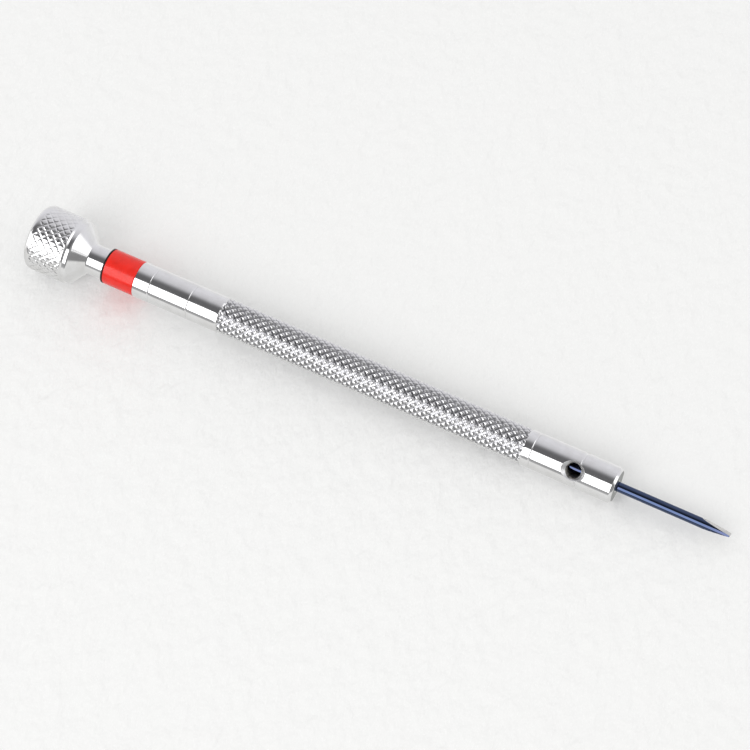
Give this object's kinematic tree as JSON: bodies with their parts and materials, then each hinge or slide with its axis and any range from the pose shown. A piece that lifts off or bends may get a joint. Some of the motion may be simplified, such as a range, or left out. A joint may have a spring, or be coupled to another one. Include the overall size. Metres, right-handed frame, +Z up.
{
  "type": "watchmaker screwdriver",
  "caption": "Slim knurled precision screwdriver with a swivelling finger head, a colour-coded size ring and an exchangeable flat blade clamped by a set screw.",
  "frame": {"origin": "middle of the bottom of the tool's box, as it lies along X with its axis level; the bottom is the lowest point of the head's rim", "axes": "+X along the tool's axis towards the blade's tip, +Z up; the open side of the cross hole faces up and towards -Y"},
  "size_m": [0.0924, 0.0084, 0.0084],
  "materials": {
    "plated_brass": "bright nickel plate on brass, knurled where gripped",
    "red_plastic": "gloss",
    "black_nylon": "satin",
    "bright_steel": "fine turned",
    "blued_steel": "heat-blued, bare at the ground tip"
  },
  "bodies": {
    "handle": {"handle_barrel": "plated_brass", "colour_ring": "red_plastic", "thrust_washer": "black_nylon", "pivot_pin": "bright_steel"},
    "head": {"swivel_head": "plated_brass", "finger_cap": "plated_brass", "bearing_ball": "bright_steel"},
    "blade": {"blade": "blued_steel"},
    "set_screw": {"clamp_screw": "bright_steel"}
  },
  "joints": [
    {"name": "head_spin", "type": "hinge", "parent": "handle", "child": "head", "pos_m": [-0.03721, 0, 0.0042], "axis": [1, 0, 0], "continuous": true},
    {"name": "blade_slide", "type": "slide", "parent": "handle", "child": "blade", "axis": [1, 0, 0], "range_m": [0, 0.013]},
    {"name": "clamp_screw_travel", "type": "slide", "parent": "handle", "child": "set_screw", "axis": [0, 0.6896, -0.7242], "range_m": [0, 0.0012]}
  ]
}
